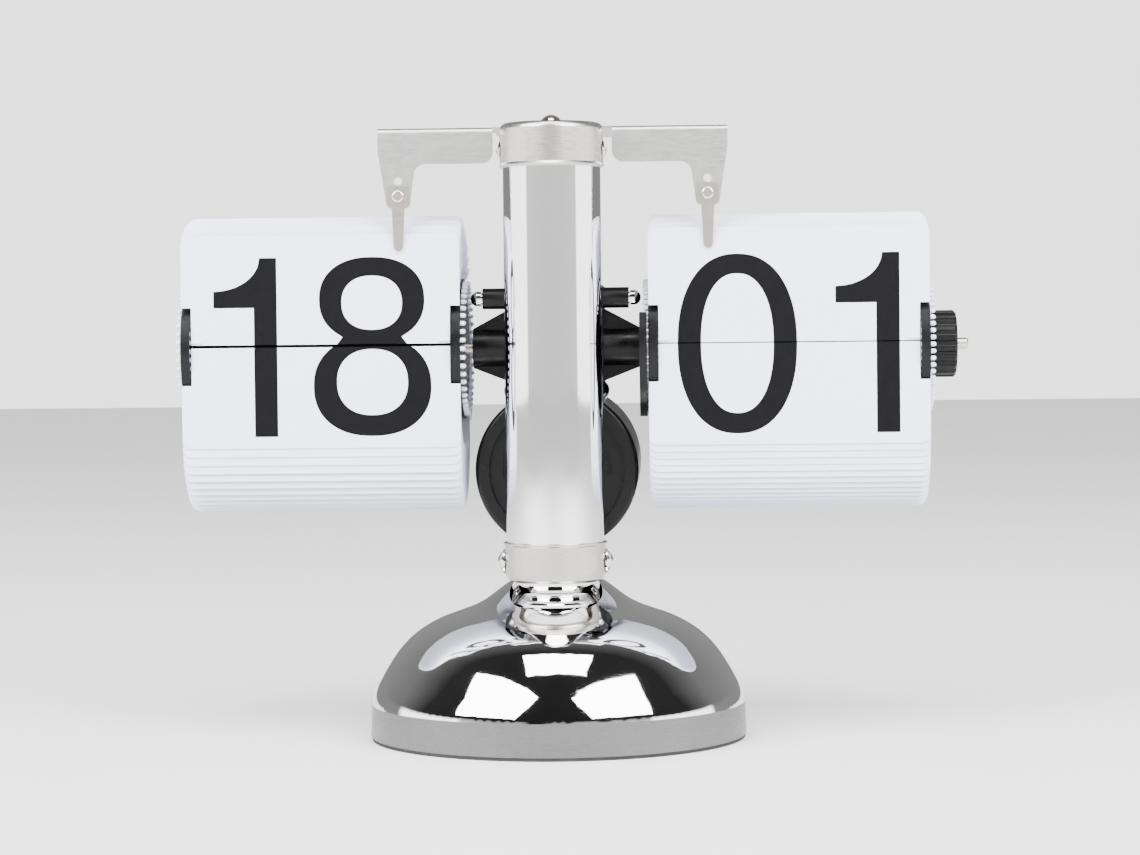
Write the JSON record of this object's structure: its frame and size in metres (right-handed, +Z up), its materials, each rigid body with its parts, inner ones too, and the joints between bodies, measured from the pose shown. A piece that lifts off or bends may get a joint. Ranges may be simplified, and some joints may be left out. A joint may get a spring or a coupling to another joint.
{
  "type": "flip number clock",
  "caption": "Desk flip clock: two card drums carried on a polished column over a domed base, with a setting knob and a rear battery barrel.",
  "frame": {"origin": "Middle of the underside of the base, where the clock rests.", "axes": "+Z up; the cards face -Y; +X runs along the drums towards the minute side and its setting knob."},
  "size_m": [0.2066, 0.1204, 0.1609],
  "materials": {
    "polished_steel": "mirror-polished stainless steel",
    "satin_steel": "satin stainless steel with a fine brushed grain",
    "bright_screws": "bright plated steel",
    "shaft_steel": "ground steel rod",
    "black_plastic": "semi-gloss black moulded plastic",
    "inner_plastic": "dark grey moulded plastic",
    "foot_foam": "thin black foam pad",
    "ballast_iron": "raw cast iron",
    "white_card": "thin white plastic card with a soft sheen",
    "gear_plastic": "natural moulded acetal",
    "bearing_brass": "turned brass",
    "motor_steel": "drawn steel can",
    "board": "green circuit board",
    "cell_jacket": "plain wrapped battery jacket"
  },
  "bodies": {
    "stand": {"ballast": "ballast_iron", "barrel_screws": "bright_screws", "base_dome": "polished_steel", "base_plate": "black_plastic", "base_ring": "satin_steel", "battery_barrel": "black_plastic", "battery_cell": "cell_jacket", "cap": "satin_steel", "cap_rivets": "bright_screws", "cap_screw": "bright_screws", "card_guard": "black_plastic", "collar": "satin_steel", "collar_screws": "bright_screws", "column": "polished_steel", "column_foot_plug": "inner_plastic", "column_saddle": "black_plastic", "column_top_plug": "inner_plastic", "contact_plate": "bearing_brass", "cover_screws": "bright_screws", "drive_board": "board", "finger_screws": "bright_screws", "foot_pad": "foot_foam", "gearbox_case": "black_plastic", "gearbox_cover": "black_plastic", "hour_cards_lower": "white_card", "hour_cards_upper": "white_card", "hub_bushes": "bearing_brass", "minute_cards_lower": "white_card", "minute_cards_upper": "white_card", "motor_can": "motor_steel", "neck": "polished_steel", "neck_bolt": "bright_screws", "plate_screws": "bright_screws", "rod_pins": "bright_screws", "saddle_screws": "bright_screws", "stop_finger_left": "satin_steel", "stop_finger_right": "satin_steel", "top_bracket": "satin_steel"},
    "hour_drum": {"hour_shaft": "shaft_steel", "hour_core": "black_plastic", "hour_flange_inner": "black_plastic", "hour_flange_outer": "black_plastic", "hour_card_ears": "white_card", "hour_wheel": "gear_plastic"},
    "minute_drum": {"minute_shaft": "shaft_steel", "minute_core": "black_plastic", "minute_flange_inner": "black_plastic", "minute_flange_outer": "black_plastic", "minute_card_ears": "white_card", "minute_pinion": "gear_plastic", "minute_wheel": "gear_plastic", "setting_knob": "black_plastic"},
    "layshaft": {"lay_arbor": "shaft_steel", "lay_wheel": "gear_plastic", "lay_pinion": "gear_plastic"},
    "motor_rotor": {"motor_pinion": "gear_plastic"},
    "hour_card": {"hour_leaf": "white_card"},
    "minute_card": {"minute_leaf": "white_card"},
    "battery_door": {"battery_cover": "black_plastic", "cover_spring": "bearing_brass"}
  },
  "joints": [
    {"name": "minute_drum_turn", "type": "hinge", "parent": "stand", "child": "minute_drum", "pos_m": [0, 0.012, 0.1012], "axis": [1, 0, 0], "continuous": true},
    {"name": "hour_drum_turn", "type": "hinge", "parent": "stand", "child": "hour_drum", "pos_m": [0, 0.012, 0.1012], "axis": [1, 0, 0], "continuous": true},
    {"name": "layshaft_turn", "type": "hinge", "parent": "stand", "child": "layshaft", "pos_m": [0, 0.021, 0.1012], "axis": [1, 0, 0], "continuous": true},
    {"name": "motor_turn", "type": "hinge", "parent": "stand", "child": "motor_rotor", "pos_m": [0, 0.0165, 0.10899], "axis": [1, 0, 0], "continuous": true},
    {"name": "hour_card_fall", "type": "hinge", "parent": "stand", "child": "hour_card", "pos_m": [-0.06065, -0.00505, 0.10345], "axis": [1, 0, 0], "range_deg": [0, 180]},
    {"name": "minute_card_fall", "type": "hinge", "parent": "stand", "child": "minute_card", "pos_m": [0.06065, -0.00511, 0.103], "axis": [1, 0, 0], "range_deg": [0, 180]},
    {"name": "battery_cover_off", "type": "slide", "parent": "stand", "child": "battery_door", "axis": [0, 1, 0], "range_m": [0, 0.03]}
  ],
  "couplings": [
    {"joint": "layshaft_turn", "follows": "minute_drum_turn", "ratio": -0.20833},
    {"joint": "hour_drum_turn", "follows": "minute_drum_turn", "ratio": 0.041667},
    {"joint": "motor_turn", "follows": "minute_drum_turn", "ratio": -5}
  ]
}
